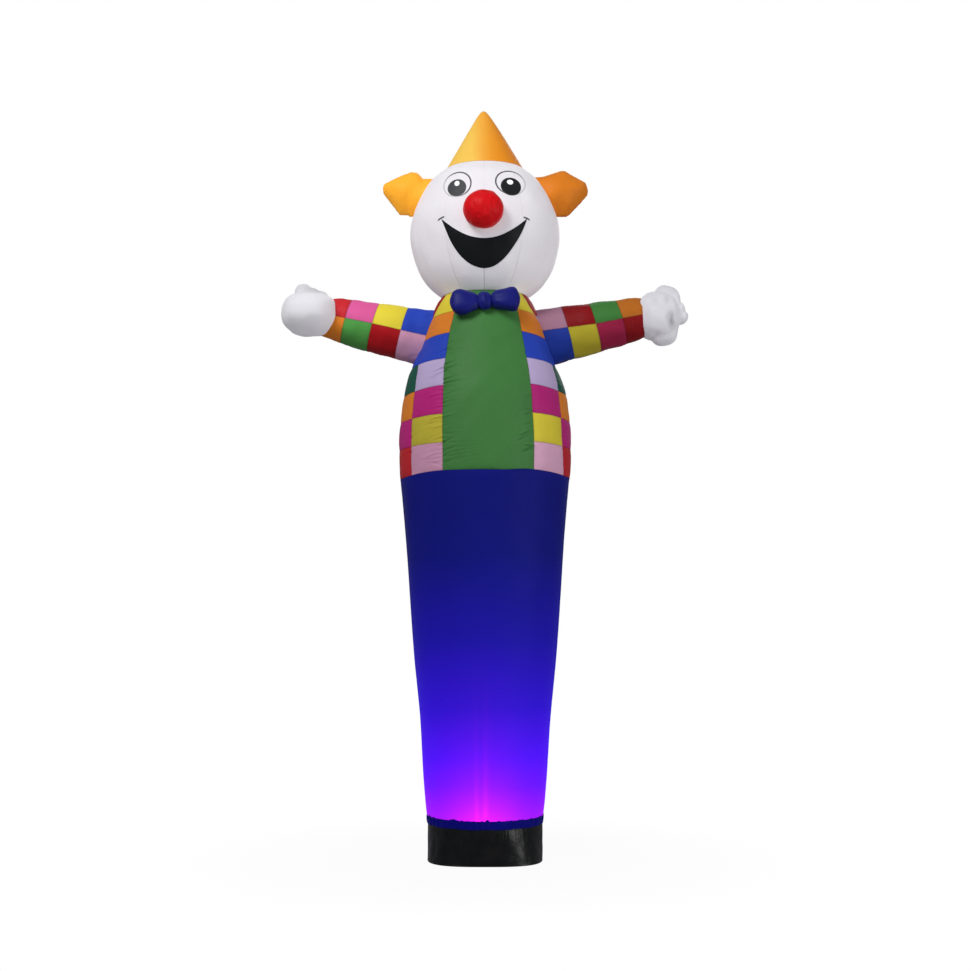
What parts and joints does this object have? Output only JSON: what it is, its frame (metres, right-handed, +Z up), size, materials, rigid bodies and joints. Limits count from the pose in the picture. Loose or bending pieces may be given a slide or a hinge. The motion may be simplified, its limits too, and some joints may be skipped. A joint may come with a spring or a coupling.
{
  "type": "inflatable air dancer",
  "caption": "Inflatable clown air dancer: a tall patchwork tube figure with a pointed hat, outstretched arms and a bow tie, held up by air on a black base.",
  "frame": {"origin": "middle of the flat underside of the base, on the ground", "axes": "+Z up along the figure's axis, the front (face and bow tie) faces -Y, the arms reach along X, and right as seen from the front is +X"},
  "size_m": [2.455, 1.1224, 4.4978],
  "materials": {
    "orange_cloth": "satin nylon",
    "white_cloth": "satin nylon",
    "black_cloth": "satin nylon",
    "red_cloth": "satin nylon",
    "bow_cloth": "satin nylon",
    "green_cloth": "satin nylon",
    "patchwork_cloth": "satin nylon in many plain colours, sewn edge to edge",
    "trouser_cloth": "satin nylon, lit from inside",
    "hem_cloth": "satin nylon, gathered",
    "black_cover": "glossy coated cloth"
  },
  "bodies": {
    "root": {"hat_cone": "orange_cloth", "head_gore_01": "white_cloth", "head_gore_02": "white_cloth", "head_gore_03": "white_cloth", "head_gore_04": "white_cloth", "head_gore_05": "white_cloth", "head_gore_06": "white_cloth", "head_gore_07": "white_cloth", "head_gore_08": "white_cloth", "head_gore_09": "white_cloth", "head_gore_10": "white_cloth", "head_gore_11": "white_cloth", "head_gore_12": "white_cloth", "nose": "red_cloth", "mouth_patch": "black_cloth", "pupil_left": "black_cloth", "pupil_right": "black_cloth", "tuft_left": "orange_cloth", "tuft_right": "orange_cloth", "bow_lobe_left": "bow_cloth", "bow_knot": "bow_cloth", "bow_lobe_right": "bow_cloth", "front_panel": "green_cloth", "vest_column_left_1": "patchwork_cloth", "vest_column_left_2": "patchwork_cloth", "vest_column_left_3": "patchwork_cloth", "vest_column_left_4": "patchwork_cloth", "vest_column_left_5": "patchwork_cloth", "vest_column_right_1": "patchwork_cloth", "vest_column_right_2": "patchwork_cloth", "vest_column_right_3": "patchwork_cloth", "vest_column_right_4": "patchwork_cloth", "vest_column_right_5": "patchwork_cloth", "sleeve_left": "patchwork_cloth", "sleeve_right": "patchwork_cloth", "hand_left": "white_cloth", "hand_right": "white_cloth", "trouser_panel_1": "trouser_cloth", "trouser_panel_2": "trouser_cloth", "trouser_panel_3": "trouser_cloth", "trouser_panel_4": "trouser_cloth", "trouser_panel_5": "trouser_cloth", "trouser_panel_6": "trouser_cloth", "hem_band": "hem_cloth", "base_wall": "black_cover", "base_floor": "black_cover"}
  },
  "joints": []
}
